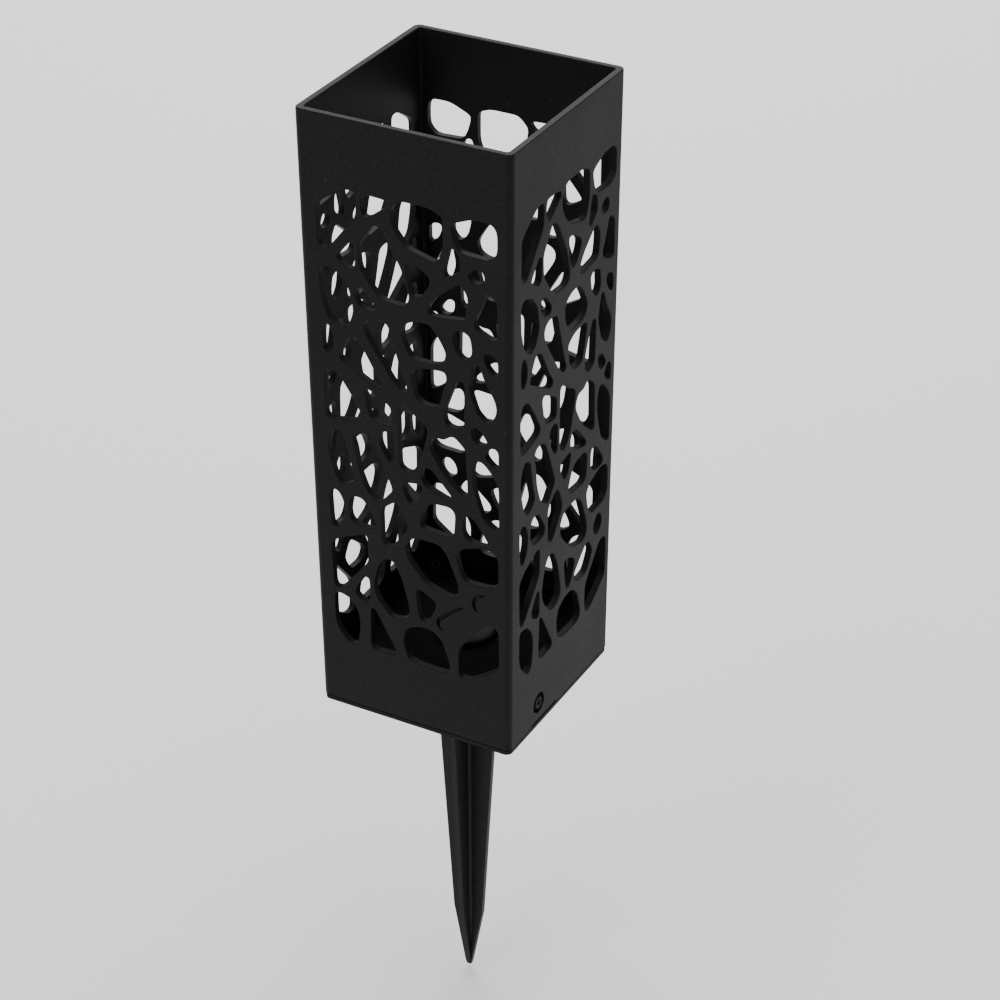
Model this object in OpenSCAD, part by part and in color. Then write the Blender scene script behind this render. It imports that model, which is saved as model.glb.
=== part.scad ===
// Square garden torch lantern: an open-topped lattice shell on a battery light base, with a ground stake.
// The origin is the centre of the base's underside, which is ground level. +Z is up, sizes are in mm.
// The wall at -Y is the front. Every wall carries the same lattice, seen from outside.

/* [Shell] */
// Width across the top of the shell
shell_top_w = 81; // [80:0.5:84]
// Width across the bottom of the shell
shell_bottom_w = 77.6; // [77.4:0.1:78.4]
// Height of the rim above the underside
shell_h = 235; // [215:1:260]
// Thickness of the shell's walls
wall_t = 2.5; // [2:0.1:2.6]
// Radius of the shell's upright outer corners
corner_r = 2.4; // [2.2:0.1:4]
// Length of the curve that rounds each corner of a lattice cell
cell_round = 1.7; // [0.5:0.1:3]
// Depth of the crescent gaps round the two webbed cells at the front
web_gap_depth = 1.2; // [0.6:0.1:1.6]

/* [Base] */
// Thickness of the flange that the shell stands on
flange_t = 1.5; // [1.2:0.1:1.6]
// Thickness of the tray's floor
floor_t = 3; // [3:0.1:3.2]
// Thickness of the tray's walls
tray_wall_t = 1.6; // [1.2:0.1:1.8]
// Height of the deck's top surface
deck_z = 19.4; // [19.4:0.1:20]
// Height of the lip round the deck
lip_h = 1.6; // [0.8:0.1:2]

/* [Light] */
// Radius of the clear lens
lens_r = 10.3; // [10:0.1:10.4]
// Height of the lens's crown above the deck
lens_crown = 2; // [1.2:0.1:2.4]
// Radius of the round circuit board
board_r = 11; // [10.5:0.1:11.2]

/* [Batteries] */
// Radius of an AA cell
cell_r = 7.2; // [7:0.05:7.2]
// Length of an AA cell with its nub
cell_len = 50.5; // [49.5:0.1:50.5]
// Distance of each cell's axis from the middle
cell_y = 21; // [21:0.05:21.2]

/* [Stake] */
// Radius of the plug that enters the base
plug_r = 8.93; // [8.9:0.01:8.99]
// Radius of the socket's bore
socket_r = 9; // [9:0.01:9.05]
// Reach of a fin from the axis, under the shoulder
fin_top = 12.9; // [12:0.1:12.9]
// Reach of a fin from the axis, where the point begins
fin_low = 6.2; // [5:0.1:7]
// Thickness of a fin
fin_t = 2.1; // [1.8:0.1:3]
// Length of the stake below ground level
stake_len = 140; // [125:1:170]
// Length of the pointed end
point_len = 28; // [20:1:40]

/* [Hidden] */
$fn = 48;
eps = 0.01;
over = 1;                                    // how far a cut runs past the face it opens
black = "#1c1c1d";
steel = "#b8b8b6";

// Shell
shell_z = flange_t;                          // underside of the shell, on the flange
shell_taper = (shell_top_w - shell_bottom_w) / 2 / shell_h;
function shell_half(z) = shell_bottom_w / 2 + shell_taper * z;
inner_corner_r = 1;
foot_recess = 0.5;                           // depth and height of the seam above the flange
slot_y = [-22, -3];                          // drain slot, under the wall at +X
slot_h = 1.2;
screw_y = -16.6;                             // side screw: its distance along the +X wall
screw_z = 9.8;
screw_pocket_r = 4;
screw_pocket_depth = 1.5;
side_head_r = 2.8;
side_screw_len = 5.4;
shank_r = 1;                                 // case screws, and the pilot holes that they cut into
clear_r = 1.6;                               // the holes that they pass through
web_shift = [1.3, -0.6];                     // moves a webbed cell's own shape, which leaves the crescent

// Base
fit_gap = 0.3;                               // between pieces that move against each other
seat_gap = 0.1;                              // round pieces that are only dropped in place
flange_inset = 0.15;                         // from the shell's outer face to the flange's
tray_half = 35.7;
tray_in = tray_half - tray_wall_t;
tube_r = 11.5;                               // tube that holds the stake's plug
tube_top = 16;
socket_depth = 12.5;
key_w = 2.4;                                 // key that stops the stake turning
key_reach = 10.2;
plate_t = 1.8;                               // thickness of the deck's plate
deck_screw_at = 30.8;
deck_head_r = 2.6;
deck_head_h = 1.6;
deck_screw_len = 7;
deck_pilot_z = 8;                            // lower end of the deck screws' pilot holes
side_boss_x = 29.5;                          // inner end of the side screws' bosses
window_r = 9.4;
ring_r = 11.7;                               // raised ring round the lens
ring_h = 1.4;
lens_edge_t = 0.8;
lip_t = 1.2;
boss_r = 2.8;

// Batteries: the front cell's nub points to +X and the back cell's to -X
cell_z = 10.3;
nub_r = 2.6;
nub_len = 1.2;
contact_x = 27.7;                            // inner face of the contacts
contact_t = 0.5;
contact_half = 4.5;
rib_t = 1.2;                                 // ribs behind the contacts
rib_half = 6.5;
spring_r = 3.4;
spring_wire_r = 0.4;
spring_taper = 1.2;                          // the spring's radius shrinks by this towards the cell
strap_low = cell_z - 1;                      // lower edge of the strap between the two cells
spring_turns = 3;
spring_steps = 14;                           // rings in each turn of the wire
door_w = 54;
door_d = 16.1;
door_t = 1.7;
door_axis_y = 29.85;                         // the door tilts about its outer lower edge
door_in_y = 13.6;
recess_depth = 2;
opening_w = 51.5;
opening_d = 14.6;
tongue_x = 16;
tongue_w = 8;
tongue_reach = 1.2;
tongue_z = [0.8, 1.5];
pocket_z = [0.45, 2.6];                      // the pocket that each tongue turns in
tab_w = 6;
tab_t = 1;
tab_h = 1.6;
tab_inset = 0.2;

// Switch, on the underside at -X
switch_x = -20.5;
switch_travel = 3;
knob_w = 4;
stem_w = 2.4;
knob_z = 0.3;
knob_t = 1.2;
stem_reach = 2;                              // of the knob's stem above the floor
stem_slot_depth = 2.5;
groove_w = 0.4;
groove_depth = 0.25;
groove_pitch = 1.1;
switch_case_size = [8, 14, 5.5];

// Light
board_t = 1.2;
board_top = tube_top + board_t;
board_screw_at = 6.8;
board_head_r = 1.8;
board_head_h = 1.1;
board_shank_r = 0.8;
board_screw_len = 3.4;
board_hole_r = 1.1;
board_pilot_depth = 2.6;
emitter_w = 5;
emitter_h = 1.5;
emitter_cup_r = 2;
emitter_cup_depth = 0.3;
chip_at = [-1.6, -6.4];
chip_size = [3, 2.4, 1];
chip_pin = [0.4, 0.8, 0.4];
chip_lift = 0.1;                             // of the chip's body above the board
resistor_at = [-6.4, -0.8];
resistor_size = [1.2, 2, 0.5];

// Stake
shoulder_z = -fit_gap;
shoulder_t = 2.7;
shoulder_r = fin_top + 0.2;
core_r = 2.2;
core_tip_r = 1.3;
core_tip_len = 22.4;                         // the core thins over this length, inside the fins
key_gap = 0.1;
plug_wall = 2;
plug_top = socket_depth - 0.5;
tip_half = 1;
nose_len = 8;                                // the last stretch, turned to a blunt cone
nose_r = 1.2;
nose_slope = 1 / 3;

// Routes of the leads' middle lines
RED_ROUTE = [[27.7, -16.4, 13.5], [27.1, -14.6, 14.6], [25, -13.2, 15.4], [20, -12, 16], [15, -8.5, 16.5],
             [9.6, -5.1, 16.6]];
BLACK_ROUTE = [[27.7, 16.4, 13.5], [25, 14.4, 15], [19, 13.2, 15.8], [8, 13.2, 16], [-4, 13.2, 16],
               [-13, 11.6, 14.4], [-17.6, 7.6, 11.2], [-19.4, 4.4, 8.5]];
SWITCH_ROUTE = [[-20.6, -3.4, 8.5], [-20.4, -3.6, 11.5], [-18.8, -4, 14.4], [-16, -4.2, 16],
                [-13, -4.2, 16.5], [-10.1, -4.2, 16.6]];
lead_r = 0.55;

// Lattice: each cell's corners as [across, up] on a wall, seen from outside
TOP_CELLS = [
    [[-33, 202], [-30, 204.5], [-22, 209.5], [-18.5, 209.8], [-17.5, 208], [-18, 200.5], [-30, 185.5],
     [-33, 187]],
    [[-15.5, 209.5], [-6, 209], [-5.5, 207], [-14, 200.5], [-16, 203]],
    [[-5, 206], [-1, 210], [10, 210], [15, 208], [15, 197], [12.5, 190.5], [1, 193.5], [-4, 200]],
    [[17.5, 206], [26, 209.5], [33, 209.5], [35, 207], [35, 199], [32, 196], [21, 196.5], [19, 200]],
    [[17.5, 198], [21, 196], [21.5, 190], [16, 185.5], [15, 188]],
    [[24.5, 190.5], [28.5, 192.7], [30.5, 190], [30, 187], [26.5, 186.3], [24, 188.5]],
    [[-11, 199.5], [-8, 198], [-1, 185], [2, 175], [0, 171.5], [-9, 172], [-12, 175], [-17, 182],
     [-17.5, 190], [-14, 195]],
    [[-20.5, 191], [-18.5, 190], [-19, 181], [-21, 180.5], [-26, 183.5], [-25.5, 185]],
    [[0.5, 189], [5, 188], [10, 184.5], [9.5, 181.5], [6, 176.5], [3, 176], [1, 181]],
    [[21, 185.5], [24, 181], [23, 172], [10, 170.5], [8.5, 173], [12, 178]],
    [[31, 184.5], [35, 181.5], [35, 167.5], [33, 167], [27, 169.5], [26, 172], [28.5, 177]],
    [[-33, 178], [-31, 179.8], [-26, 178.5], [-21.5, 173], [-20, 165], [-22, 159.5], [-25, 157],
     [-30, 160], [-32.5, 168]],
    [[-19, 173.5], [-16.5, 175], [-11, 168.5], [-12, 166.2], [-17, 167], [-19, 170]]
];
UPPER_CELLS = [
    [[-32.5, 155], [-31, 158.5], [-28.5, 155], [-28, 150], [-30.5, 146], [-32.5, 147.5]],
    [[-22, 155], [-18.5, 154.5], [-12, 143], [-9, 139], [-10.5, 137], [-17, 140], [-26.5, 145.5],
     [-25, 149.5]],
    [[-16, 162], [-13, 164], [-7, 163.5], [-5.5, 158], [-2.5, 148], [0.5, 139.5], [-1.5, 138.5],
     [-5, 141.5], [-12.5, 152.5], [-16, 158.5]],
    [[-1, 164.5], [3, 166.8], [9, 167.5], [12, 164], [15.5, 158], [14.5, 154], [11, 152.5],
     [2.5, 152.5], [0, 156], [-1.5, 160]],
    [[17.5, 166.5], [20, 168], [24.5, 167], [25.5, 160], [22.5, 156.5], [19, 160]],
    [[29.5, 161.5], [32, 162], [35, 160.5], [35, 154], [33.5, 154], [30.5, 157]],
    [[1.5, 147.5], [6, 150], [15, 150.8], [15.5, 148], [13, 139], [12, 136], [6, 136], [3, 138.5]],
    [[20, 149.5], [22.5, 148], [22, 131.5], [18, 129.5], [14.5, 131], [14.5, 136], [17.5, 144]],
    [[26, 156.5], [28, 156.5], [29.5, 152], [34, 144], [34.5, 140], [31.5, 134.5], [27, 138],
     [24, 147]]
];
MIDDLE_CELLS = [
    [[-32.5, 137], [-31.5, 140], [-27.5, 140], [-22, 132], [-18, 125], [-19, 123], [-31, 120.5],
     [-32.5, 122]],
    [[-17, 135.5], [-15.5, 136.5], [-6.5, 131.5], [-6.5, 123.5], [-14.5, 124.5], [-16, 130]],
    [[-3.7, 133], [-2, 134], [8, 127], [7, 122], [4, 112], [0.5, 107], [-3.5, 108.5]],
    [[8, 120], [10, 124.5], [14, 124], [17.5, 127], [22.5, 122.5], [23, 104], [20.5, 104.5],
     [14, 110], [10.5, 115.5]],
    [[5, 109.5], [7, 111.8], [9.5, 110.5], [17.5, 101.5], [15.5, 100.5], [7, 103.5], [4.5, 106.5]],
    [[29.8, 123], [32.5, 126.5], [35, 125.5], [35, 118.5], [33.5, 118.5], [30.5, 121]],
    [[24.5, 132.5], [27.5, 132.5], [31.5, 127], [28, 125.5], [25, 127.5]],
    [[-32, 112], [-30, 116.5], [-27.5, 117], [-25, 114.5], [-24, 107], [-21.5, 99], [-23, 97],
     [-27, 94.5], [-29.5, 98], [-32, 107]],
    [[-22.5, 116], [-20, 118.5], [-15, 117.8], [-12, 112], [-6.5, 98], [-9, 95.5], [-12, 91.5],
     [-17, 95], [-20, 103], [-21, 111]],
    [[-11.5, 119], [-9.5, 121.5], [-5.5, 121], [-5.5, 109.5], [-7.5, 109], [-11, 115]]
];
LOWER_CELLS = [
    [[-3, 101.5], [-1.5, 103], [4.5, 104], [5.3, 102.5], [3, 96], [1, 94.5], [-1, 96]],
    [[8.5, 97.5], [16, 98], [18, 96], [17.5, 87.5], [15.5, 85.5], [5, 86.3], [3.5, 88.5], [6, 94.5]],
    [[21, 95.5], [23, 97], [26, 95], [31, 87.5], [30, 86], [24, 86], [21, 88.5]],
    [[25, 116], [26.5, 119.5], [29, 119.5], [33, 115], [35, 111], [35, 93.5], [33, 94], [29, 97],
     [26.5, 104], [25, 110]],
    [[-32.5, 90], [-30.5, 92.7], [-28, 91], [-26.3, 86], [-27, 80.5], [-30, 76], [-32, 77.5]],
    [[-24.5, 89.5], [-22.5, 91.5], [-19, 91.5], [-14, 84], [-14, 81], [-16, 79.8], [-22.5, 80],
     [-24.5, 82.5]],
    [[-11.5, 89], [-9, 91.5], [-5.5, 94], [-3.5, 92.5], [-0.7, 85.5], [-2, 82.5], [-8.5, 74],
     [-11.5, 75.5]],
    [[-32.5, 69.5], [-29, 72.5], [-19, 76.7], [-17.5, 76], [-17.5, 65.5], [-29, 51.5], [-31, 50.7],
     [-32, 52]],
    [[-19, 59.3], [-17.3, 58.5], [-17.3, 48.5], [-19, 47.5], [-23.5, 50.5], [-22.5, 54]],
    [[-15.3, 58], [-13.5, 65], [-11, 69], [-7.5, 69.3], [-4, 63], [-1, 51], [-1.5, 47], [-5.5, 45],
     [-9, 45], [-13.5, 50.5], [-15.3, 54]],
    [[-2.5, 76], [0, 80.5], [3, 81.5], [11.5, 81.5], [14.5, 78], [19, 66.5], [18.5, 62.5],
     [15.5, 60.5], [6, 63.5], [-1, 71.5]],
    [[18, 79.5], [20.5, 82.5], [28, 85], [33, 84.5], [34.7, 82], [34.7, 72], [32, 69.5], [22, 69],
     [19.8, 72]],
    [[1.5, 60], [4, 60.3], [9.7, 57], [9.7, 54.5], [6.5, 48], [4, 46.5], [2.5, 50]],
    [[-32, 48], [-30.5, 49], [-26, 48], [-22.5, 43.5], [-21.7, 38], [-22.7, 30], [-24.5, 27.8],
     [-27, 28.5], [-31, 33.5], [-32, 37]],
    [[-17, 46.8], [-15.5, 46.5], [-7, 31], [-7.3, 28.8], [-15.5, 28.5], [-17.5, 30]],
    [[-4, 37], [-2.5, 42], [2.5, 44.5], [8, 44.5], [12, 41], [15, 32], [14.5, 28.7], [12, 27.7],
     [2, 28], [-2.5, 29.5]],
    [[18.5, 39], [20, 42], [30, 53.7], [33.5, 53.5], [34.7, 51.5], [34.7, 36.5], [30, 33],
     [22.5, 28], [19, 28], [18.5, 30]]
];
// Two cells that a web closes on the front wall and that are open on the other three
WEBBED_CELLS = [
    [[24, 62], [26, 65.5], [29, 66.3], [31, 63], [30.5, 59.5], [27.5, 57.2], [24.5, 59]],
    [[18.5, 58], [20.5, 58.3], [24, 53], [21.5, 48.5], [19.5, 45.7], [12, 45.5], [9.5, 48], [10, 50.5]]
];
CELLS = concat(TOP_CELLS, UPPER_CELLS, MIDDLE_CELLS, LOWER_CELLS);

// A corner becomes a curve between a point before it and a point after it
function toward(a, b, d) = a + (b - a) * min(d / norm(b - a), 0.45);
function bend(a, c, b, t) = a * (1 - t) * (1 - t) + c * 2 * t * (1 - t) + b * t * t;
function rounded(p, d, steps = 2) = [
    for (i = [0 : len(p) - 1])
        let (previous = p[(i + len(p) - 1) % len(p)], next = p[(i + 1) % len(p)])
            for (s = [0 : steps]) bend(toward(p[i], previous, d), p[i], toward(p[i], next, d), s / steps)
];

// A tube of wire: rings round the points of a path, each set square to the path by its own side vector
function unit(v) = v / norm(v);
function along(path, i) = unit(path[min(i + 1, len(path) - 1)] - path[max(i - 1, 0)]);
function ring(path, sides, i, r, n) =
    let (t = along(path, i), s = unit(sides[i] - t * (sides[i] * t)), u = cross(t, s))
        [for (k = [0 : n - 1]) path[i] + r * (cos(360 * k / n) * s + sin(360 * k / n) * u)];
module wire(path, sides, r, n = 8) {
    m = len(path);
    polyhedron(
        points = [for (i = [0 : m - 1]) each ring(path, sides, i, r, n)],
        faces = concat(
            [[for (k = [n - 1 : -1 : 0]) (m - 1) * n + k]],
            [[for (k = [0 : n - 1]) k]],
            [for (i = [0 : m - 2]) for (k = [0 : n - 1])
                [i * n + k, (i + 1) * n + k, (i + 1) * n + (k + 1) % n, i * n + (k + 1) % n]]
        ));
}
module lead(route, side) {
    wire(route, [for (p = route) side], lead_r);
}

module rounded_square(half, r) {
    square([2 * (half - r), 2 * half], center = true);
    square([2 * half, 2 * (half - r)], center = true);
    for (x = [-1, 1], y = [-1, 1]) translate([x * (half - r), y * (half - r)]) circle(r);
}
module plate(half, r, z0, z1) {
    translate([0, 0, z0]) linear_extrude(z1 - z0) rounded_square(half, r);
}
module box(x, y, z) {
    translate([x[0], y[0], z[0]]) cube([x[1] - x[0], y[1] - y[0], z[1] - z[0]]);
}
// A pan-head screw that points down -Z from the underside of its head, with a cross recess
module screw(head_r, head_h, thread_r, length) {
    recess = [head_r * 1.1, head_r * 0.28, head_h * 1.2];
    difference() {
        union() {
            cylinder(h = head_h, r1 = head_r, r2 = head_r * 0.82);
            translate([0, 0, -length]) cylinder(h = length + eps, r = thread_r);
            translate([0, 0, -length - thread_r])
                cylinder(h = thread_r + eps, r1 = thread_r * 0.3, r2 = thread_r);
        }
        for (turn = [0, 90]) rotate(turn) translate([0, 0, head_h]) cube(recess, center = true);
    }
}
// Both ends of the lantern take the same side screw, turned half round
module at_side_screws() {
    for (turn = [0, 180]) rotate(turn) translate([0, screw_y, screw_z]) children();
}
module at_corners() {
    for (x = [-1, 1], y = [-1, 1]) translate([x * deck_screw_at, y * deck_screw_at, 0]) children();
}
module at_board_screws() {
    for (turn = [135, 315]) rotate(turn) translate([board_screw_at, 0, board_top]) children();
}

// Lattice shell: one tapered square tube, open at both ends
module tapered_square(half_low, half_high, r, z0, z1) {
    translate([0, 0, z0]) linear_extrude(z1 - z0, scale = half_high / half_low)
        rounded_square(half_low, r, $fn = 32);
}
module wall_cut(depth_in, depth_out) {
    translate([0, -depth_in, 0]) rotate([90, 0, 0]) linear_extrude(depth_out - depth_in) children();
}
module lattice_cuts() {
    inside = shell_half(0) - wall_t - over;
    outside = shell_half(shell_h) + over;
    for (turn = [0, 90, 180, 270], c = CELLS)
        rotate(turn) wall_cut(inside, outside) polygon(rounded(c, cell_round));
    for (turn = [90, 180, 270], c = WEBBED_CELLS)
        rotate(turn) wall_cut(inside, outside) polygon(rounded(c, cell_round));
    for (c = WEBBED_CELLS) wall_cut(shell_half(50) - web_gap_depth, outside) difference() {
        polygon(rounded(c, cell_round));
        translate(web_shift) polygon(rounded(c, cell_round));
    }
}
module lattice_shell() {
    top_in = shell_half(shell_h) - wall_t;
    low_in = shell_half(shell_z) - wall_t;
    foot_z = shell_z + foot_recess;
    foot = shell_half(foot_z) - foot_recess;
    color(black) difference() {
        union() {
            tapered_square(shell_half(foot_z), shell_half(shell_h), corner_r, foot_z, shell_h);
            tapered_square(foot, foot, corner_r - foot_recess, shell_z, foot_z);
        }
        tapered_square(low_in - shell_taper * over, top_in + shell_taper * over, inner_corner_r,
                       shell_z - over, shell_h + over);
        lattice_cuts();
        box([tray_half, shell_half(0) + over], slot_y, [shell_z - over, shell_z + slot_h]);
        at_side_screws() rotate([0, 90, 0]) {
            translate([0, 0, shell_half(screw_z) - screw_pocket_depth])
                cylinder(h = 3 * over, r = screw_pocket_r);
            translate([0, 0, tray_half]) cylinder(h = wall_t + over, r = clear_r);
        }
    }
}

// Base tray: flange, floor and walls, with the stake's socket in the middle
module door_hole(turn) {
    rotate(turn) {
        box([-door_w / 2 - fit_gap, door_w / 2 + fit_gap],
            [-door_in_y - door_d - fit_gap, -door_in_y + fit_gap], [-over, recess_depth]);
        box([-opening_w / 2, opening_w / 2], [-cell_y - opening_d / 2, -cell_y + opening_d / 2],
            [0, floor_t + over]);
        box([-tab_w / 2 - fit_gap, tab_w / 2 + fit_gap], [-cell_y, -door_in_y + 2 * fit_gap],
            [-over, floor_t + over]);
        for (x = [-tongue_x, tongue_x])
            box([x - tongue_w / 2 - fit_gap, x + tongue_w / 2 + fit_gap],
                [-door_axis_y - tongue_reach - 2 * fit_gap, -door_axis_y + over], pocket_z);
    }
}
module base_tray() {
    color(black) difference() {
        union() {
            plate(shell_half(0) - flange_inset, corner_r, 0, flange_t);
            plate(tray_half, inner_corner_r, 0, floor_t);
            difference() {
                plate(tray_half, inner_corner_r, 0, deck_z - plate_t);
                plate(tray_in, inner_corner_r / 2, floor_t, deck_z);
            }
            cylinder(h = tube_top, r = tube_r);
            at_corners() cylinder(h = deck_z - plate_t, r = boss_r);
            at_side_screws() rotate([0, 90, 0]) translate([0, 0, side_boss_x])
                cylinder(h = tray_in + over - side_boss_x, r = boss_r);
            for (turn = [0, 180], y = [-cell_y, cell_y]) rotate(turn)
                box([contact_x + contact_t, contact_x + contact_t + rib_t], [y - rib_half, y + rib_half],
                    [floor_t - eps, cell_z + contact_half]);
        }
        translate([0, 0, -over]) cylinder(h = socket_depth + over, r = socket_r);
        box([-key_w / 2 - key_gap, key_w / 2 + key_gap], [-key_reach - key_gap, 0], [-over, socket_depth]);
        door_hole(0);
        door_hole(180);
        box([switch_x - knob_w / 2 - fit_gap, switch_x + knob_w / 2 + fit_gap],
            [-knob_w / 2 - fit_gap, knob_w / 2 + switch_travel + fit_gap],
            [-over, knob_z + knob_t + fit_gap]);
        box([switch_x - stem_w / 2 - fit_gap, switch_x + stem_w / 2 + fit_gap],
            [-stem_w / 2 - fit_gap, stem_w / 2 + switch_travel + fit_gap], [0, floor_t + over]);
        at_corners() translate([0, 0, deck_pilot_z]) cylinder(h = deck_z, r = shank_r);
        at_side_screws() rotate([0, 90, 0]) translate([0, 0, side_boss_x + fit_gap])
            cylinder(h = tray_half - side_boss_x + over, r = shank_r);
        at_board_screws() translate([0, 0, -board_t - board_pilot_depth])
            cylinder(h = board_pilot_depth + over, r = board_shank_r);
    }
}
module deck_cover() {
    color(black) difference() {
        union() {
            plate(tray_half, inner_corner_r, deck_z - plate_t, deck_z);
            difference() {
                plate(tray_half, inner_corner_r, deck_z - eps, deck_z + lip_h);
                plate(tray_half - lip_t, inner_corner_r / 2, deck_z - over, deck_z + lip_h + over);
            }
            translate([0, 0, deck_z - eps]) cylinder(h = ring_h, r = ring_r);
        }
        translate([0, 0, deck_z - plate_t - over]) cylinder(h = plate_t + 2 * over, r = window_r);
        translate([0, 0, deck_z]) cylinder(h = ring_h + over, r = lens_r + seat_gap);
        at_corners() cylinder(h = deck_z + over, r = clear_r);
    }
}
module deck_screws() {
    color(steel) at_corners() translate([0, 0, deck_z])
        screw(deck_head_r, deck_head_h, shank_r, deck_screw_len);
}
module side_screws() {
    reach = shell_half(screw_z) - screw_pocket_depth;
    color("#8f9092") at_side_screws() rotate([0, 90, 0]) translate([0, 0, reach])
        screw(side_head_r, screw_pocket_depth, shank_r, side_screw_len);
}

// Light
module lens() {
    steps = 8;
    rise = lens_crown - lens_edge_t;
    color([0.9, 0.92, 0.9, 0.4]) translate([0, 0, deck_z]) rotate_extrude() polygon(concat(
        [[0, 0], [lens_r, 0]],
        [for (i = [0 : steps]) [lens_r * cos(90 * i / steps), lens_edge_t + rise * sin(90 * i / steps)]]));
}
module led_board() {
    color("#e8e8e2") difference() {
        translate([0, 0, tube_top]) cylinder(h = board_t, r = board_r);
        at_board_screws() translate([0, 0, -board_t - over])
            cylinder(h = board_t + 2 * over, r = board_hole_r);
    }
}
module led_emitter() {
    color("#f2d24a") translate([0, 0, board_top]) difference() {
        translate([-emitter_w / 2, -emitter_w / 2, 0]) cube([emitter_w, emitter_w, emitter_h]);
        translate([0, 0, emitter_h - emitter_cup_depth]) cylinder(h = over, r = emitter_cup_r);
    }
}
module driver_chip() {
    pin_y = (chip_size.y + chip_pin.y) / 2 - chip_lift;
    color("#26262a") translate([chip_at.x, chip_at.y, board_top]) {
        translate([-chip_size.x / 2, -chip_size.y / 2, chip_lift]) cube(chip_size);
        for (x = [-1, 0, 1], y = [-pin_y, pin_y])
            translate([x - chip_pin.x / 2, y - chip_pin.y / 2, 0]) cube(chip_pin);
    }
}
module resistor() {
    color("#3a3a3c") translate([resistor_at.x, resistor_at.y, board_top]) cube(resistor_size);
}
module board_screws() {
    color(steel) at_board_screws() screw(board_head_r, board_head_h, board_shank_r, board_screw_len);
}

// Batteries and their contacts
module battery_cell(turn) {
    rotate(turn) translate([contact_x, -cell_y, cell_z]) rotate([0, -90, 0]) {
        cylinder(h = nub_len + eps, r = nub_r);
        translate([0, 0, nub_len]) cylinder(h = cell_len - nub_len, r = cell_r);
    }
}
module battery_cell_front() {
    color("#3d4a3c") battery_cell(0);
}
module battery_cell_back() {
    color("#3d4a3c") battery_cell(180);
}
module cell_spring(turn) {
    length = 2 * contact_x - cell_len - 2 * spring_wire_r;
    steps = spring_turns * spring_steps;
    path = [for (i = [0 : steps])
        let (a = 360 * i / spring_steps, r = spring_r - spring_taper * i / steps)
            [-contact_x + spring_wire_r + length * i / steps, -cell_y + r * cos(a), cell_z + r * sin(a)]];
    sides = [for (i = [0 : steps]) let (a = 360 * i / spring_steps) [0, cos(a), sin(a)]];
    rotate(turn) wire(path, sides, spring_wire_r, 6);
}
module cell_springs() {
    color(steel) for (turn = [0, 180]) cell_spring(turn);
}
module end_plates() {
    color("#c9b36a") for (y = [-cell_y, cell_y])
        box([contact_x, contact_x + contact_t], [y - contact_half, y + contact_half],
            [cell_z - contact_half, cell_z + contact_half]);
}
module bridge_strap() {
    reach = cell_y + contact_half;
    color("#c9b36a") difference() {
        box([-contact_x - contact_t, -contact_x], [-reach, reach],
            [cell_z - contact_half, cell_z + contact_half]);
        box([-contact_x - over, -contact_x + over], [-cell_y + contact_half, cell_y - contact_half],
            [cell_z - contact_half - over, strap_low]);
    }
}
module red_lead() {
    color("#a02020") lead(RED_ROUTE, [0, 0, 1]);
}
module black_lead() {
    color("#202020") lead(BLACK_ROUTE, [0.5, 0.5, 1]);
}
module switch_lead() {
    color("#202020") lead(SWITCH_ROUTE, [0, 1, 0]);
}

// Switch and battery doors
module switch_case() {
    color("#2a2a2c") translate([switch_x, switch_travel / 2, floor_t]) difference() {
        translate([-switch_case_size[0] / 2, -switch_case_size[1] / 2, 0]) cube(switch_case_size);
        cube([stem_w + 2 * fit_gap, stem_w + switch_travel + 2 * fit_gap, 2 * stem_slot_depth],
             center = true);
    }
}
module switch_knob() {
    color("#303032") translate([switch_x, 0, 0]) difference() {
        union() {
            box([-knob_w / 2, knob_w / 2], [-knob_w / 2, knob_w / 2], [knob_z, knob_z + knob_t]);
            box([-stem_w / 2, stem_w / 2], [-stem_w / 2, stem_w / 2],
                [knob_z + knob_t / 2, floor_t + stem_reach]);
        }
        for (y = [-1, 0, 1]) translate([0, y * groove_pitch, knob_z])
            cube([knob_w + over, groove_w, 2 * groove_depth], center = true);
    }
}
module battery_door(turn) {
    rotate(turn) {
        box([-door_w / 2, door_w / 2], [-door_in_y - door_d, -door_in_y], [0, door_t]);
        box([-tab_w / 2, tab_w / 2], [-door_in_y - tab_t - tab_inset, -door_in_y - tab_inset],
            [door_t - eps, door_t + tab_h]);
        for (x = [-tongue_x, tongue_x])
            box([x - tongue_w / 2, x + tongue_w / 2],
                [-door_axis_y - tongue_reach, -door_axis_y + over], tongue_z);
    }
}
module battery_door_front() {
    color("#202021") battery_door(0);
}
module battery_door_back() {
    color("#202021") battery_door(180);
}

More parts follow.
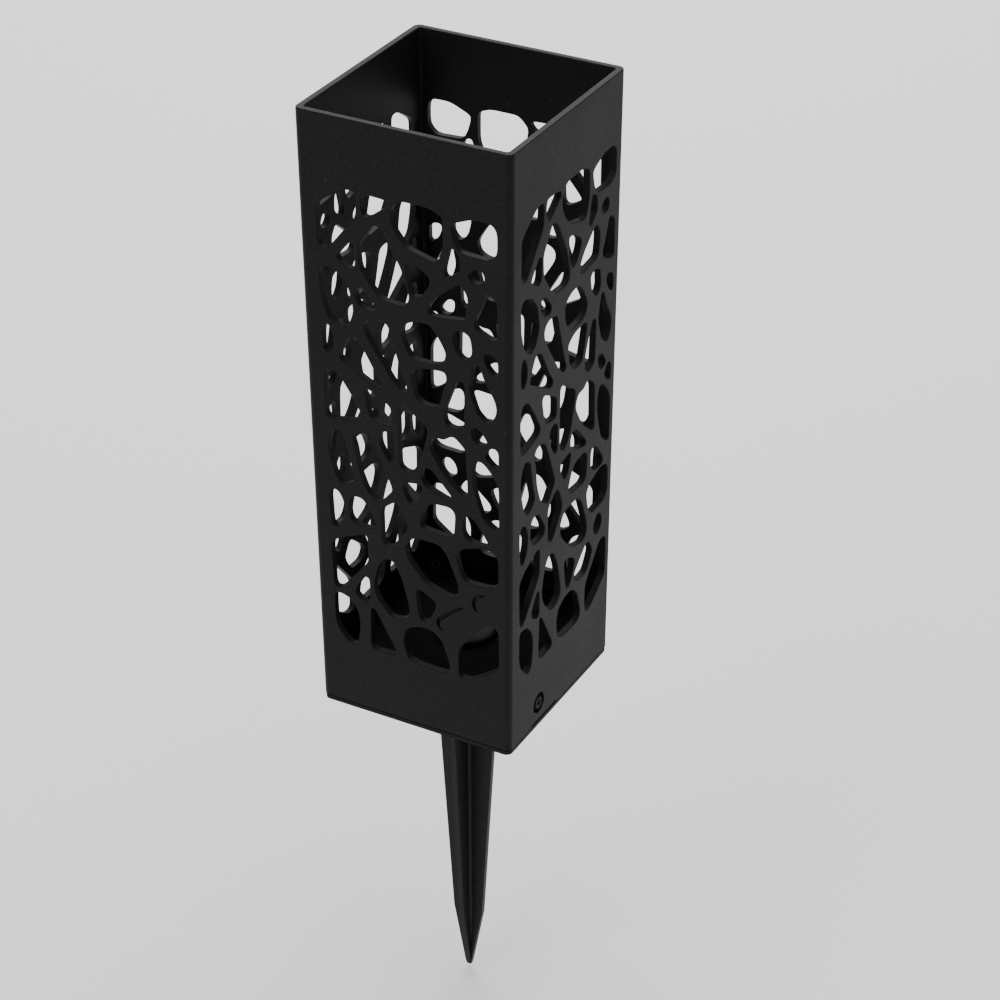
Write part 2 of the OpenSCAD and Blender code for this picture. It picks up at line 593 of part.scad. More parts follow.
// Stake: a keyed plug, a shoulder and four fins that run down to a point
module stake_body() {
    low = point_len - stake_len;
    under = shoulder_z - shoulder_t;
    translate([0, 0, under]) cylinder(h = shoulder_t, r = shoulder_r);
    translate([0, 0, shoulder_z - eps]) cylinder(h = plug_top - shoulder_z, r = plug_r);
    box([-key_w / 2, key_w / 2], [-key_reach, 0], [shoulder_z - eps, plug_top]);
    for (turn = [0, 90]) rotate([90, 0, turn]) linear_extrude(fin_t, center = true)
        polygon([[-fin_top, under + eps], [fin_top, under + eps], [fin_low, low],
                 [tip_half, -stake_len], [-tip_half, -stake_len], [-fin_low, low]]);
    translate([0, 0, low]) cylinder(h = under - low + eps, r = core_r);
    translate([0, 0, low - core_tip_len]) cylinder(h = core_tip_len + eps, r1 = core_tip_r, r2 = core_r);
}
module stake() {
    color(black) difference() {
        intersection() {
            stake_body();
            union() {
                translate([0, 0, -stake_len])
                    cylinder(h = nose_len, r1 = nose_r, r2 = nose_r + nose_len * nose_slope);
                translate([0, 0, nose_len - stake_len - eps])
                    cylinder(h = 2 * stake_len, r = shoulder_r + over);
            }
        }
        translate([0, 0, plug_wall]) cylinder(h = socket_depth, r = plug_r - plug_wall);
    }
}

lattice_shell();
base_tray();
deck_cover();
lens();
led_board();
led_emitter();
driver_chip();
resistor();
battery_cell_front();
battery_cell_back();
cell_springs();
end_plates();
bridge_strap();
red_lead();
black_lead();
switch_lead();
switch_case();
switch_knob();
battery_door_front();
battery_door_back();
board_screws();
deck_screws();
side_screws();
stake();
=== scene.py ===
import math

import bmesh
import bpy
import numpy as np
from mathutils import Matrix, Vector
from mathutils.geometry import delaunay_2d_cdt


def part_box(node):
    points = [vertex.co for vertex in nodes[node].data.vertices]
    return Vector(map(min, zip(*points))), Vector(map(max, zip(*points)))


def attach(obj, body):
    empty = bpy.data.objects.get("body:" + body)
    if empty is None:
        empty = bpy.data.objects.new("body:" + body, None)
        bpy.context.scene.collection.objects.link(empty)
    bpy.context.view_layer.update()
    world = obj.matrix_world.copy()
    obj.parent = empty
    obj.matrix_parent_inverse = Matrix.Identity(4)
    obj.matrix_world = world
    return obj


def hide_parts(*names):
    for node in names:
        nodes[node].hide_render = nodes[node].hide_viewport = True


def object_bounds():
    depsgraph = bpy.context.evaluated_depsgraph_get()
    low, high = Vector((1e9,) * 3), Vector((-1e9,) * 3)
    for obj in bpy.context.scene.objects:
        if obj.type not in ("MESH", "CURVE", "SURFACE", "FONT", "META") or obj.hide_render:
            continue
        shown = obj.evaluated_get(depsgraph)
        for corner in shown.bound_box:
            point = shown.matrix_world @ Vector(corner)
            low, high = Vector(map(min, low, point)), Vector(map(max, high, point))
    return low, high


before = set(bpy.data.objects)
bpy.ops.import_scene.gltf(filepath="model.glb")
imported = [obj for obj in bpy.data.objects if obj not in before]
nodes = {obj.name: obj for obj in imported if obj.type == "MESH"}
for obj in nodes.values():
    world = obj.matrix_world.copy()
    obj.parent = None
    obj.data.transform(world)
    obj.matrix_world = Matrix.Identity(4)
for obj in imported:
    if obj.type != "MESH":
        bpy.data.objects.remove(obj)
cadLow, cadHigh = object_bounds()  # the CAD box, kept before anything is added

print("frame loaded:", len(nodes), "CAD nodes")

camera = {
    "lens": 103.83,  # mm, as the sensor is
    "sensor": 36,
    "place": (0.4325, -0.7685, 0.6153),
    "azimuth": 28.51,  # degrees, as the next two are
    "elevation": 31.491,
    "roll": 0.096,
    "clipStart": 0.01,
}


def makeCamera(settings):
    data = bpy.data.cameras.new("camera")
    data.lens = settings["lens"]
    data.sensor_width = settings["sensor"]
    data.clip_start = settings["clipStart"]
    obj = bpy.data.objects.new("camera", data)
    obj.location = settings["place"]
    tilt = 90 - settings["elevation"]
    obj.rotation_euler = [math.radians(a) for a in (tilt, settings["roll"], settings["azimuth"])]
    bpy.context.scene.collection.objects.link(obj)
    bpy.context.scene.camera = obj


makeCamera(camera)
print("camera set")


class Link:  # a node's output, so that shader maths is written as plain expressions
    def __init__(self, tree, out):
        self.tree = tree
        self.out = out

    def node(self, kind, settings, inputs, out=0):  # any node: its settings, then its sockets
        made = self.tree.nodes.new(kind)
        for name, value in settings.items():
            setattr(made, name, value)
        for key, value in inputs.items():
            if isinstance(value, Link):
                self.tree.links.new(value.out, made.inputs[key])
            else:
                made.inputs[key].default_value = value
        return Link(self.tree, made.outputs[out])

    def maths(self, operation, *values):  # this value first, then the others
        return self.node("ShaderNodeMath", {"operation": operation}, dict(enumerate((self, *values))))

    def __add__(self, other):
        return self.maths("ADD", other)

    __radd__ = __add__

    def __mul__(self, other):
        return self.maths("MULTIPLY", other)

    __rmul__ = __mul__

    def __sub__(self, other):
        return self.maths("SUBTRACT", other)

    def __rsub__(self, other):
        return self * -1 + other

    def between(self, low, high):  # 0 below low, 1 above high, smooth from one to the other
        inputs = {0: self, 1: low, 2: high}
        return self.node("ShaderNodeMapRange", {"interpolation_type": "SMOOTHSTEP"}, inputs)

    def mix(self, first, second):  # one colour where this is 0, the other where it is 1
        inputs, colourOut = {"Factor": self, "A": first, "B": second}, 2
        return self.node("ShaderNodeMix", {"data_type": "RGBA"}, inputs, colourOut)

    def noise(self, scale, detail=2, roughness=0.5):
        inputs = {"Vector": self, "Scale": scale, "Detail": detail, "Roughness": roughness}
        return self.node("ShaderNodeTexNoise", {}, inputs)

    def stretched(self, x, y, z):
        return self.node("ShaderNodeMapping", {}, {"Vector": self, "Scale": (x, y, z)})

    def parts(self):  # a vector's x, y and z
        split = self.node("ShaderNodeSeparateXYZ", {}, {0: self})
        return [Link(self.tree, out) for out in split.out.node.outputs]

    def bump(self, strength, distance, onto=None):
        inputs = {"Strength": strength, "Distance": distance, "Height": self}
        if onto:
            inputs["Normal"] = onto
        return self.node("ShaderNodeBump", {}, inputs)


def newMaterial(name, colour, **surface):  # returns the material, its object coordinates and its shader
    material = bpy.data.materials.new(name)
    material.use_nodes = True
    tree = material.node_tree
    shader = tree.nodes["Principled BSDF"]
    shader.inputs["Base Color"].default_value = (*colour, 1)
    for key, value in surface.items():
        shader.inputs[key.replace("_", " ")].default_value = value
    coords = tree.nodes.new("ShaderNodeTexCoord")
    return material, Link(tree, coords.outputs["Object"]), shader


def feed(shader, **links):
    for key, link in links.items():
        link.tree.links.new(link.out, shader.inputs[key.replace("_", " ")])


# Moulded black plastic: a faint mottle, a fine grain, flow marks and a few specks of dust.
plastic = {
    "colour": (0.0072, 0.0072, 0.0075),
    "dust": (0.05, 0.05, 0.049),
    "roughness": (0.46, 0.58),  # between the smoother and the duller patches
    "shine": 0.1,
    "patchScale": 28,  # noise cells to the metre, here and below
    "patchLimits": (0.55, 0.8),
    "patchShare": 0.06,
    "fineScale": 420,
    "speckScale": 1100,
    "speckLimits": (0.72, 0.78),
    "clusterScale": 60,  # where the specks gather
    "clusterLimits": (0.5, 0.66),
    "speckShare": 0.7,
    "grainScale": 1400,
    "grainLimits": (0.4, 0.68),
    "grainShare": 0.09,
    "grainDepth": 0.00006,
    "grainStrength": 0.6,
    "flowScale": 160,
    "flowStretch": 0.12,  # flow marks run up and down
    "flowDepth": 0.0001,
    "flowStrength": 0.06,
}
variants = {  # what each moulding or blackened part changes
    "shellPlastic": {},
    "basePlastic": {"roughness": (0.5, 0.62)},
    # the deck's far darker colour and dust are painted shade, standing in for the shade inside the lantern
    "deckPlasticPaintedShade": {"colour": (0.0015, 0.0015, 0.0016), "dust": (0.02, 0.02, 0.02),
                    "roughness": (0.62, 0.75), "shine": 0.03},
    "stakePlastic": {"roughness": (0.38, 0.52), "shine": 0.14},
    "casePlastic": {"colour": (0.02, 0.02, 0.022)},
    "blackScrewSteel": {"colour": (0.004, 0.004, 0.0042), "dust": (0.2, 0.19, 0.18),
                        "roughness": (0.4, 0.6), "shine": 0.05},
}


def mouldedPlastic(name, settings):
    material, place, shader = newMaterial(name, settings["colour"])
    shader.inputs["Specular IOR Level"].default_value = settings["shine"]
    smooth, dull = settings["roughness"]
    patches = place.noise(settings["patchScale"], 3)
    fine = place.noise(settings["fineScale"], 3, 0.6)
    clusters = place.noise(settings["clusterScale"], 2).between(*settings["clusterLimits"])
    specks = place.noise(settings["speckScale"], 1).between(*settings["speckLimits"]) * clusters
    grain = place.noise(settings["grainScale"], 2)
    flow = place.stretched(1, 1, settings["flowStretch"]).noise(settings["flowScale"], 2)
    mottle = (grain.between(*settings["grainLimits"]) * settings["grainShare"]
              + patches.between(*settings["patchLimits"]) * settings["patchShare"])
    dusty = specks * settings["speckShare"] + mottle
    colour = dusty.mix((*settings["colour"], 1), (*settings["dust"], 1))
    roughness = smooth + (dull - smooth) * patches + 0.1 * (fine - 0.5) + 0.3 * specks
    flowNormal = flow.bump(settings["flowStrength"], settings["flowDepth"])
    normal = (grain + 0.4 * fine).bump(settings["grainStrength"], settings["grainDepth"], flowNormal)
    feed(shader, Base_Color=colour, Roughness=roughness, Normal=normal)
    return material


plastics = {name: mouldedPlastic(name, {**plastic, **changes}) for name, changes in variants.items()}


def dress(names, material):  # gives CAD nodes a finish
    for name in names:
        slots = nodes[name].data.materials
        slots.clear()
        slots.append(material)


rounding = {  # of the edges of CAD nodes
    "angle": 32,  # degrees; edges that turn by less stay as they are
    "segments": 2,
    "weldWithin": 0.000002,
    "widths": {
        "stake": 0.0003,
        "base_tray": 0.00035,
        "deck_cover": 0.0003,
        "battery_door_front": 0.0003,
        "battery_door_back": 0.0003,
        "switch_knob": 0.00015,
        "switch_case": 0.0003,
    },
}


def soften(name, width, settings):  # rounds a CAD node's edges, over its unchanged mesh
    obj = nodes[name]
    weld = obj.modifiers.new("weld", "WELD")
    weld.merge_threshold = settings["weldWithin"]
    bevel = obj.modifiers.new("bevel", "BEVEL")
    bevel.width = width
    bevel.segments = settings["segments"]
    bevel.limit_method = "ANGLE"
    bevel.angle_limit = math.radians(settings["angle"])
    bevel.loop_slide = False
    obj.data.shade_smooth()
    normals = obj.modifiers.new("normals", "WEIGHTED_NORMAL")
    normals.keep_sharp = True


# Lattice shell. Every cell's outline is read from the CAD shell, smoothed, and carried through the wall as
# a profile: a quarter-round at the outer face, then straight in. The flat stretches between cells are filled.
shell = {
    "wall": 0.0025,
    "footRecess": 0.0005,
    "cornerRadius": 0.0024,  # at the foot; both radii grow with the taper
    "innerRadius": 0.001,
    "cornerSteps": 8,
    "spacing": 0.00075,  # between the points of an outline
    "fewestPoints": 20,
    "smoothing": 0.00035,
    "edgeRound": 0.0003,
    "edgeSteps": 3,
    "rimRound": 0.0004,
    "rimSteps": 4,
    "webGap": 0.0012,  # depth of the crescents at the front
    "pocketDepth": 0.0015,  # of the side screws' pockets
    "pocketShare": 0.5,  # a pocket's hole is less than this share of its mouth
    "cellMatch": 0.0012,  # a cell's middle inside the wall is this near to its middle outside
    "sideZone": 0.005,  # the part of a wall's border that follows the upright corners
    "slotTop": 0.00275,  # just above the drain slot
    "near": 0.000003,  # points this near to a plane lie on it
    "mergeWithin": 0.000004,
    "sharpAngle": 38,  # degrees
}


def readShell():  # the CAD shell's points and triangles, with doubles merged to the micrometre
    mesh = nodes["lattice_shell"].data
    mesh.calc_loop_triangles()
    points = np.empty(len(mesh.vertices) * 3)
    mesh.vertices.foreach_get("co", points)
    points = points.reshape(-1, 3)
    corners = np.empty(len(mesh.loop_triangles) * 3, int)
    mesh.loop_triangles.foreach_get("vertices", corners)
    rounded = np.round(points * 1e6)
    first, same = np.unique(rounded, axis=0, return_index=True, return_inverse=True)[1:]
    triangles = same.reshape(-1)[corners].reshape(-1, 3)
    whole = (np.diff(np.sort(triangles, 1)) > 0).all(1)
    return points[first], triangles[whole]


def turned(points, quarter):  # points turned about Z by a number of quarter turns
    c, s = ((1, 0), (0, 1), (-1, 0), (0, -1))[quarter % 4]
    x, y, z = points.T
    return np.stack((c * x - s * y, s * x + c * y, z), 1)


def closedLoops(points, triangles):  # the border loops of a flat set of triangles, each as ordered points
    edges = np.concatenate([triangles[:, (0, 1)], triangles[:, (1, 2)], triangles[:, (2, 0)]])
    count = len(points)
    lone = ~np.isin(edges[:, 0] * count + edges[:, 1], edges[:, 1] * count + edges[:, 0])
    used, ends = np.unique(edges[lone], return_inverse=True)
    mesh = bpy.data.meshes.new("border")
    mesh.from_pydata(points[used].tolist(), ends.reshape(-1, 2).tolist(), [])
    obj = bpy.data.objects.new("border", mesh)
    bpy.context.scene.collection.objects.link(obj)
    bpy.context.view_layer.objects.active = obj
    bpy.ops.object.select_all(action="DESELECT")
    obj.select_set(True)
    bpy.ops.object.convert(target="CURVE")
    loops = []
    for spline in obj.data.splines:
        flat = np.empty(len(spline.points) * 4)
        spline.points.foreach_get("co", flat)
        loops.append(flat.reshape(-1, 4)[:, (0, 2)])  # across and up
    bpy.data.objects.remove(obj)
    return [anticlockwise(loop) for loop in loops]


def area(loop):  # half the sum of the cross products of neighbouring points
    x, z = loop.T
    return 0.5 * float(np.sum(x * np.roll(z, -1) - z * np.roll(x, -1)))


def anticlockwise(loop):
    return loop if area(loop) > 0 else loop[::-1]


def smoothed(loop, settings):  # even points by arc length, then a Gaussian in the frequency domain
    closed = np.vstack((loop, loop[:1]))
    along = np.concatenate(([0], np.cumsum(np.hypot(*np.diff(closed, axis=0).T))))
    count = max(settings["fewestPoints"], int(math.ceil(along[-1] / settings["spacing"])))
    at = np.linspace(0, along[-1], count, endpoint=False)
    even = np.interp(at, along, closed[:, 0]) + 1j * np.interp(at, along, closed[:, 1])
    waves = np.fft.fftfreq(count, along[-1] / count)
    even = np.fft.ifft(np.fft.fft(even) * np.exp(-2 * (math.pi * waves * settings["smoothing"]) ** 2))
    return np.stack((even.real, even.imag), 1)


def widened(loop, by):  # an anticlockwise loop moved outwards along its own normals
    step = np.roll(loop, -1, 0) - np.roll(loop, 1, 0)
    step /= np.hypot(*step.T)[:, None]
    return loop + by * np.stack((step[:, 1], -step[:, 0]), 1)


def inside(places, loop):  # whether each place is inside a loop, by counting the edges to its right
    a, b = loop, np.roll(loop, -1, 0)
    x, y = places[:, 0, None], places[:, 1, None]
    spans = (a[:, 1] > y) != (b[:, 1] > y)
    rise = np.where(b[:, 1] == a[:, 1], 1, b[:, 1] - a[:, 1])
    return (spans & (x < a[:, 0] + (y - a[:, 1]) * (b[:, 0] - a[:, 0]) / rise)).sum(1) % 2 == 1


def filled(loops):  # triangles between an outer loop and the loops inside it
    starts = np.cumsum([0] + [len(loop) for loop in loops])
    edges = [np.stack((np.arange(a, b), np.roll(np.arange(a, b), -1)), 1) for a, b in zip(starts, starts[1:])]
    flat = [Vector(p) for p in np.vstack(loops).tolist()]
    insideOnly, closest = 1, 1e-9
    made = delaunay_2d_cdt(flat, np.vstack(edges).tolist(), [], insideOnly, closest)
    points = np.array([tuple(p) for p in made[0]])
    faces = np.array([tuple(f) for f in made[2]])
    middles = points[faces].mean(1)
    kept = inside(middles, loops[0])
    for hole in loops[1:]:
        kept &= ~inside(middles, hole)
    return points, faces[kept]


class Patchwork:  # collects points and faces, and joins them into one closed mesh
    def __init__(self):
        self.points = []
        self.faces = []
        self.count = 0

    def add(self, points, faces):
        self.points.append(points)
        self.faces.extend((np.asarray(faces) + self.count).tolist())
        self.count += len(points)

    def rings(self, rows, closed=True):  # a grid of points, rows by columns, as quads
        down, across = rows.shape[:2]
        index = np.arange(down * across).reshape(down, across)
        nextColumn = np.roll(index, -1, 1)
        quads = np.stack((index[:-1], nextColumn[:-1], nextColumn[1:], index[1:]), 2)
        if not closed:
            quads = quads[:, :-1]
        self.add(rows.reshape(-1, 3), quads.reshape(-1, 4))

    def finished(self, name, settings):
        mesh = bpy.data.meshes.new(name)
        mesh.from_pydata(np.vstack(self.points).tolist(), [], self.faces)
        work = bmesh.new()
        work.from_mesh(mesh)
        bmesh.ops.remove_doubles(work, verts=work.verts, dist=settings["mergeWithin"])
        bmesh.ops.recalc_face_normals(work, faces=work.faces)
        openEdges = sum(1 for e in work.edges if len(e.link_faces) != 2)
        print(" ", name, "faces", len(work.faces), "open edges", openEdges)
        work.to_mesh(mesh)
        work.free()
        mesh.shade_smooth()
        mesh.set_sharp_from_angle(angle=math.radians(settings["sharpAngle"]))
        obj = bpy.data.objects.new(name, mesh)
        bpy.context.scene.collection.objects.link(obj)
        return obj


class Walls:  # the shell's four walls, which lean out evenly from the foot to the rim
    def __init__(self, points, settings):
        self.settings = settings
        self.wall = settings["wall"]
        self.near = settings["near"]
        self.lowZ, self.rimZ = points[:, 2].min(), points[:, 2].max()
        self.footZ = self.lowZ + settings["footRecess"]
        self.brimZ = self.rimZ - settings["rimRound"]
        self.halfLow = points[np.abs(points[:, 2] - self.footZ) < self.near][:, 0].max()
        self.halfTop = points[np.abs(points[:, 2] - self.rimZ) < self.near][:, 0].max()

    def half(self, z, depth=0):  # from the axis to a wall's outer face, or to a depth behind it
        lean = (self.halfTop - self.halfLow) / (self.rimZ - self.footZ)
        return self.halfLow + lean * (z - self.footZ) - depth

    def corner(self, z, depth):  # radius of the upright corners, outside at no depth and else inside
        radius = self.settings["innerRadius"] if depth else self.settings["cornerRadius"]
        return radius * self.half(z, depth) / (self.halfLow - depth)

    def placed(self, loop, depth, quarter):  # across and up on a wall, and depth into it, as a place in space
        across, up = loop.T
        return turned(np.stack((across, depth - self.half(up), up), 1), quarter)

    def outline(self, z, size, radius):  # a rounded square
        turn = np.radians(np.linspace(-90, 0, self.settings["cornerSteps"] + 1))
        corner = np.stack((size - radius + radius * np.cos(turn), radius - size + radius * np.sin(turn),
                           np.full(len(turn), z)), 1)
        return np.vstack([turned(corner, quarter) for quarter in range(4)])

    def ring(self, z, depth):  # the rounded square that the outer or the inner faces make
        return self.outline(z, self.half(z, depth), self.corner(z, depth))


def wallFace(walls, own, triangles, depth):  # a face's flat triangles, its border and its cells' outlines
    on = np.abs(own[:, 1] + walls.half(own[:, 2], depth)) < walls.near
    flat = on[triangles].all(1)
    loops = closedLoops(own, triangles[flat])
    loops.sort(key=area, reverse=True)
    border = loops[0]
    border[:, 1] = np.minimum(border[:, 1], walls.brimZ)
    atSides = np.abs(border[:, 0]) > walls.halfLow - walls.settings["sideZone"]
    side = walls.half(border[:, 1], depth) - walls.corner(border[:, 1], depth)
    border[:, 0] = np.where(atSides, np.sign(border[:, 0]) * side, border[:, 0])
    return flat, border, [smoothed(loop, walls.settings) for loop in loops[1:]]


def addCell(work, walls, cell, backs, quarter):  # returns the cell's mouth, and its holes in the inner face
    settings, edge = walls.settings, walls.settings["edgeRound"]
    turn = np.linspace(0, math.pi / 2, settings["edgeSteps"] + 1)
    middles = np.array([back.mean(0) for back in backs])
    apart = np.hypot(*(middles - cell.mean(0)).T)
    back = backs[int(apart.argmin())] if apart.min() < settings["cellMatch"] else None
    if back is None:  # a blind gap at the front
        floor, holes, depth = [cell], [], settings["webGap"]
    elif area(back) < settings["pocketShare"] * area(cell):  # a screw's pocket, with a hole in its floor
        floor, holes, depth = [cell, back], [back], settings["pocketDepth"]
    else:
        floor, holes, depth = [], [cell], walls.wall
    if floor:
        flatPoints, flatFaces = filled(floor)
        work.add(walls.placed(flatPoints, depth, quarter), flatFaces)
    for hole in floor[1:]:  # on through the wall
        work.rings(np.array([walls.placed(hole, d, quarter) for d in (depth, walls.wall)]))
    rows = [widened(cell, edge * (1 - math.sin(a))) for a in turn] + [cell]
    depths = [edge * (1 - math.cos(a)) for a in turn] + [depth]
    work.rings(np.array([walls.placed(row, d, quarter) for row, d in zip(rows, depths)]))
    return rows[0], holes


def addWall(work, walls, own, triangles, quarter):  # returns the CAD shell's triangles that it stands for
    outerFlat, outer, cells = wallFace(walls, own, triangles, 0)
    innerFlat, inner, backs = wallFace(walls, own, triangles, walls.wall)
    mouths, holes = [outer], [inner]
    for cell in cells:
        mouth, cellHoles = addCell(work, walls, cell, backs, quarter)
        mouths.append(mouth)
        holes += cellHoles
    flatPoints, flatFaces = filled(mouths)
    work.add(walls.placed(flatPoints, 0, quarter), flatFaces)
    flatPoints, flatFaces = filled(holes)
    work.add(walls.placed(flatPoints, walls.wall, quarter), flatFaces[:, ::-1])
    return outerFlat | innerFlat


def addCorners(work, walls):  # the upright corners, outside and inside
    across = walls.settings["cornerSteps"] + 1
    for startZ, depth in ((walls.footZ, 0), (walls.lowZ, walls.wall)):
        rows = np.array([walls.ring(z, depth) for z in (startZ, walls.brimZ)])
        for quarter in range(4):
            work.rings(rows[:, quarter * across:(quarter + 1) * across], closed=False)


def addRim(work, walls):  # a quarter-round, the flat top and a quarter-round, carried round the square
    radius, wall = walls.settings["rimRound"], walls.wall
    turn = np.linspace(0, math.pi / 2, walls.settings["rimSteps"] + 1)
    stations = [(radius * (1 - math.cos(a)), radius * math.sin(a)) for a in turn]
    stations += [(wall - inset, rise) for inset, rise in stations[::-1]]
    rows = []
    for inset, rise in stations:
        share = inset / wall
        corner = walls.corner(walls.rimZ, 0) * (1 - share) + walls.corner(walls.rimZ, wall) * share
        rows.append(walls.outline(walls.brimZ + rise, walls.half(walls.brimZ, inset), corner))
    rows[0] = walls.ring(walls.brimZ, 0)
    rows[-1] = walls.ring(walls.brimZ, wall)
    work.rings(np.array(rows))


def makeShell(settings):
    points, triangles = readShell()
    walls = Walls(points, settings)
    work = Patchwork()
    onWall = np.zeros(len(triangles), bool)
    for quarter in range(4):
        onWall |= addWall(work, walls, turned(points, -quarter), triangles, quarter)
    low = (points[triangles][:, :, 2] < settings["slotTop"]).all(1) & ~onWall
    work.add(points, triangles[low])  # the underside, the seam and the drain slot, as in the CAD shell
    addCorners(work, walls)
    addRim(work, walls)
    return work.finished("shell", settings)


shellPiece = makeShell(shell)
shellPiece.data.materials.append(plastics["shellPlastic"])
evenNormals = shellPiece.modifiers.new("normals", "WEIGHTED_NORMAL")  # keeps flats flat beside rounded edges
evenNormals.keep_sharp = True
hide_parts("lattice_shell")
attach(shellPiece, "lantern")
print("shell made")

# Finishes of the other pieces. The noise scales count cells to the metre, as above.
fineRelief = 0.00002  # height of the bumps on small parts
worn = {  # bare metal
    "tarnish": (0.2, 0.17, 0.13),
    "stainShare": 0.35,
    "stainScale": 220,
    "stainLimits": (0.55, 0.8),
    "scratchScale": 900,
    "scratchStretch": 0.15,
}
lens = {
    # the near-black colour is painted shade for the inside of the lantern
    "colour": (0.02, 0.019, 0.021),
    "refraction": 1.3,
    "clearness": 0.3,
    "shine": 0.1,
}
board = {
    "mask": (0.72, 0.72, 0.68),
    "track": (0.5, 0.52, 0.45),
    "tin": (0.6, 0.6, 0.58),
    "ringRadius": 0.0092,
    "ringHalfWidth": (0.0005, 0.00035),  # outside its blend, and inside it
}
emitter = {
    "case": (0.8, 0.8, 0.76),
    "phosphor": (0.8, 0.55, 0.06),
    "radius": 0.002,
    "blend": 0.00005,
}
chip = {
    "body": (0.02, 0.02, 0.021),
    "tin": (0.62, 0.62, 0.6),
    "tinLength": 0.0007,  # of the legs, at both ends
    "blend": 0.00004,
}
resistor = {
    "body": (0.03, 0.03, 0.035),
    "tin": (0.66, 0.66, 0.64),
    "tinLength": 0.0004,
    "blend": 0.00005,
}
batteryCell = {  # lengths are shares of the cell's own
    "sleeve": (0.035, 0.075, 0.05),
    "band": (0.46, 0.3, 0.09),
    "scuff": (0.3, 0.3, 0.28),
    "steel": (0.6, 0.6, 0.58),
    "sleeveStart": 0.005,
    "sleeveEnd": 0.965,
    "bandStart": 0.701,
    "blend": 0.001,
}


def metal(name, colour, roughness, settings):
    material, place, shader = newMaterial(name, colour, Metallic=1)
    streaks = place.stretched(1, settings["scratchStretch"], 1).noise(settings["scratchScale"], 3)
    stains = place.noise(settings["stainScale"], 3).between(*settings["stainLimits"])
    feed(shader, Base_Color=(stains * settings["stainShare"]).mix((*colour, 1), (*settings["tarnish"], 1)),
         Roughness=roughness + 0.25 * (streaks - 0.5) + 0.15 * stains,
         Normal=streaks.bump(0.15, fineRelief))
    return material


def insulation(name, colour):  # soft vinyl on a lead
    material, place, shader = newMaterial(name, colour)
    patches = place.noise(350, 3)
    shade = [c * 0.6 for c in colour]
    feed(shader, Base_Color=patches.mix((*colour, 1), (*shade, 1)), Roughness=0.35 + 0.2 * patches,
         Normal=place.noise(2500).bump(0.2, fineRelief))
    return material


def radius(place):  # distance from the upright axis
    x, y = place.parts()[:2]
    return (x * x + y * y).maths("SQRT")


def lensPaintedShade(settings):  # near-black colour painted in as the shade inside the lantern, just clear enough for the light to glow through
    material, place, shader = newMaterial("lensPaintedShade", settings["colour"], IOR=settings["refraction"])
    shader.inputs["Transmission Weight"].default_value = settings["clearness"]
    shader.inputs["Specular IOR Level"].default_value = settings["shine"]
    haze = place.noise(150, 4)
    feed(shader, Roughness=0.4 + 0.16 * haze, Normal=place.noise(700).bump(0.06, fineRelief))
    return material


def boardMask(settings):  # white solder mask with a tinned ring and a few tracks
    material, place, shader = newMaterial("boardMask", settings["mask"], Roughness=0.35)
    ring = (radius(place) - settings["ringRadius"]).maths("ABSOLUTE").between(*settings["ringHalfWidth"])
    tracks = place.stretched(1, 1, 0).noise(160, 1).between(0.5, 0.505)
    colour = (tracks * 0.3).mix((*settings["mask"], 1), (*settings["track"], 1))
    feed(shader, Base_Color=ring.mix(colour, (*settings["tin"], 1)), Roughness=0.38 - 0.12 * ring,
         Metallic=ring * 0.9, Normal=(ring + 0.5 * tracks).bump(0.3, 0.00003))
    return material


def emitterMaterial(settings):  # yellow phosphor in a white case
    material, place, shader = newMaterial("emitter", settings["case"])
    edge, blend = settings["radius"], settings["blend"]
    phosphor = radius(place).between(edge + blend, edge - blend)
    feed(shader, Base_Color=phosphor.mix((*settings["case"], 1), (*settings["phosphor"], 1)),
         Roughness=0.4 + 0.3 * phosphor, Normal=place.noise(3000).bump(0.2, fineRelief))
    return material


def tinnedEnds(place, name, settings):  # 1 at a part's two ends along Y, 0 on its body
    low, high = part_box(name)
    middle, half = (low[1] + high[1]) / 2, (high[1] - low[1]) / 2 - settings["tinLength"]
    y = place.parts()[1]
    return (y - middle).maths("ABSOLUTE").between(half, half + settings["blend"])


def chipMaterial(settings):  # black epoxy, and tinned legs past its sides
    material, place, shader = newMaterial("chip", settings["body"])
    legs = tinnedEnds(place, "driver_chip", settings)
    grain = place.noise(4000)
    feed(shader, Base_Color=legs.mix((*settings["body"], 1), (*settings["tin"], 1)), Metallic=legs,
         Roughness=0.55 - 0.3 * legs + 0.2 * (grain - 0.5), Normal=grain.bump(0.3, fineRelief))
    return material


def resistorMaterial(settings):
    material, place, shader = newMaterial("resistorBody", settings["body"])
    caps = tinnedEnds(place, "resistor", settings)
    feed(shader, Base_Color=caps.mix((*settings["body"], 1), (*settings["tin"], 1)), Metallic=caps,
         Roughness=0.4 + 0.1 * place.noise(3000))
    return material


def cellWrap(cell, nubAtHigh, settings):  # a plain printed sleeve, with bare metal ends
    material, place, shader = newMaterial(cell + "_wrap", (0.05, 0.09, 0.06))
    low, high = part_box(cell)
    x = place.parts()[0]
    along = (x - low[0]) * (1 / (high[0] - low[0]))
    if not nubAtHigh:
        along = 1 - along
    start, end, bandStart = settings["sleeveStart"], settings["sleeveEnd"], settings["bandStart"]
    blend = settings["blend"]
    sleeve = along.between(start - blend, start + blend) * along.between(end + blend, end - blend)
    band = along.between(bandStart - blend, bandStart + blend)
    scuffs = place.noise(260, 4).between(0.6, 0.75)
    colour = band.mix((*settings["sleeve"], 1), (*settings["band"], 1))
    colour = (scuffs * 0.25).mix(colour, (*settings["scuff"], 1))
    feed(shader, Base_Color=sleeve.mix((*settings["steel"], 1), colour), Metallic=1 - sleeve * 0.75,
         Roughness=0.3 + 0.15 * scuffs + 0.08 * place.noise(500),
         Normal=place.noise(90, 2).bump(0.05, 0.0001))
    return material


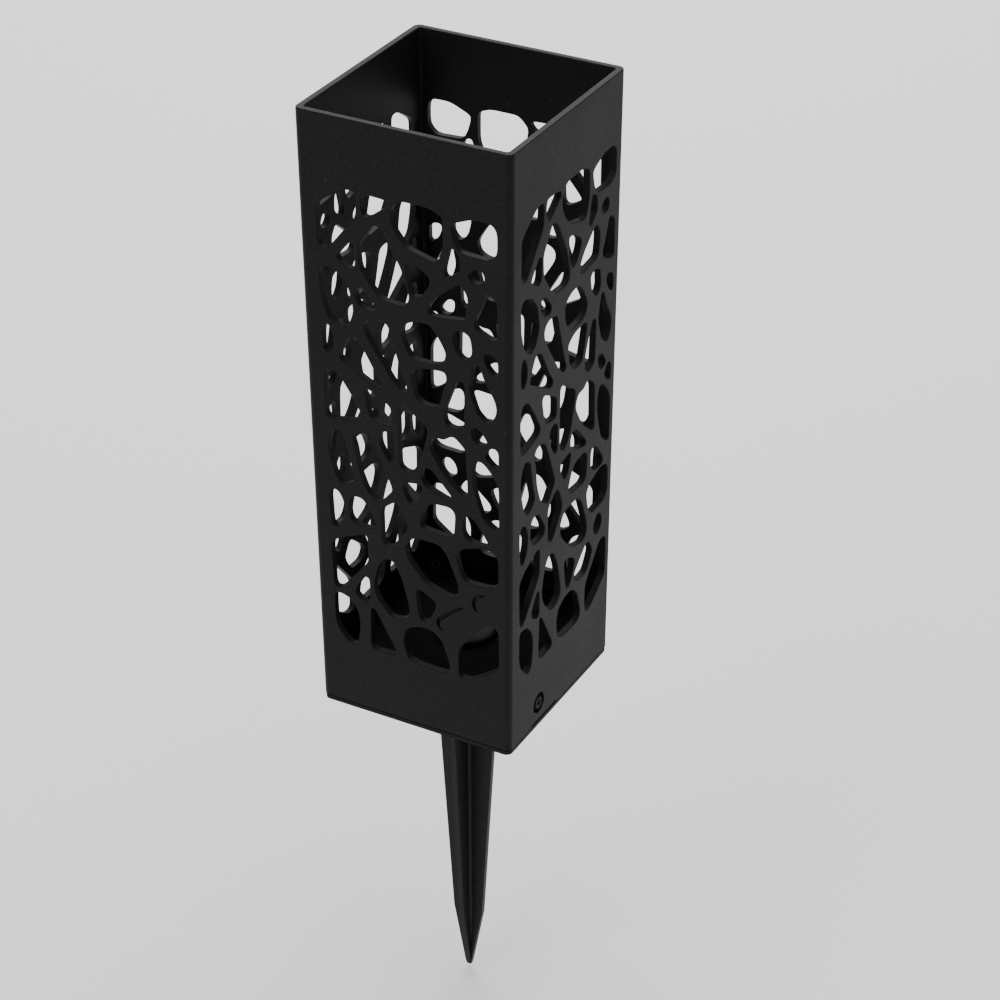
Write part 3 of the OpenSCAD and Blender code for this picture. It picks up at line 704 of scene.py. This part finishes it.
dress(["stake"], plastics["stakePlastic"])
dress(["deck_cover"], plastics["deckPlasticPaintedShade"])
dress(["base_tray", "battery_door_front", "battery_door_back", "switch_knob"], plastics["basePlastic"])
dress(["switch_case"], plastics["casePlastic"])
dress(["side_screws", "deck_screws"], plastics["blackScrewSteel"])
dress(["lens"], lensPaintedShade(lens))
dress(["led_board"], boardMask(board))
dress(["led_emitter"], emitterMaterial(emitter))
dress(["driver_chip"], chipMaterial(chip))
dress(["resistor"], resistorMaterial(resistor))
dress(["battery_cell_front"], cellWrap("battery_cell_front", True, batteryCell))
dress(["battery_cell_back"], cellWrap("battery_cell_back", False, batteryCell))
dress(["cell_springs"], metal("springSteel", (0.55, 0.55, 0.54), 0.3, worn))
dress(["end_plates", "bridge_strap"], metal("platedBrass", (0.66, 0.6, 0.45), 0.32, worn))
dress(["board_screws"], metal("zincSteel", (0.56, 0.56, 0.55), 0.34, worn))
dress(["red_lead"], insulation("redVinyl", (0.4, 0.02, 0.02)))
dress(["black_lead", "switch_lead"], insulation("blackVinyl", (0.014, 0.014, 0.014)))
for name, width in rounding["widths"].items():
    soften(name, width, rounding)
print("finishes made")

stage = {
    "floorZ": cadLow[2] - 0.002,  # just below the stake's point
    "floorSize": 12,
    "floorTone": 0.95,
    "world": 0.35,
}
lights = {  # place, the point it faces, width and height, power in watts
    "topSoftbox": ((0, 0.3, 2.1), (0, 0.3, 0), (2.4, 2.4), 44),
    "backSoftbox": ((-0.85, 1.55, 1.25), (0, 0, 0.2), (2.2, 1.2), 34),
    "rightSoftbox": ((1.9, 0.9, 0.7), (0, 0, 0.1), (1.0, 1.2), 2),
    "frontSoftbox": ((-0.6, -1.7, 1.5), (0, 0, 0), (1.4, 0.8), 14),
}


def makeFloor(settings):
    half, z = settings["floorSize"] / 2, settings["floorZ"]
    corners = [(-half, -half, z), (half, -half, z), (half, half, z), (-half, half, z)]
    mesh = bpy.data.meshes.new("floor")
    mesh.from_pydata(corners, [], [(0, 1, 2, 3)])
    floor = bpy.data.objects.new("floor", mesh)
    bpy.context.scene.collection.objects.link(floor)
    mesh.materials.append(newMaterial("floorPaper", (settings["floorTone"],) * 3, Roughness=0.9)[0])


def makeLight(name, place, aim, size, power):
    data = bpy.data.lights.new(name, "AREA")
    data.shape = "RECTANGLE"
    data.size, data.size_y = size
    data.energy = power
    light = bpy.data.objects.new(name, data)
    light.location = place
    light.rotation_euler = (Vector(aim) - Vector(place)).to_track_quat("-Z", "Y").to_euler()
    bpy.context.scene.collection.objects.link(light)


def makeWorld(settings):
    world = bpy.data.worlds.new("studio")
    bpy.context.scene.world = world
    world.use_nodes = True
    background = world.node_tree.nodes["Background"]
    background.inputs["Strength"].default_value = settings["world"]
    background.inputs["Color"].default_value = (1, 1, 1, 1)


makeFloor(stage)
makeWorld(stage)
for name, (place, aim, size, power) in lights.items():
    makeLight(name, place, aim, size, power)
print("stage and lights set")
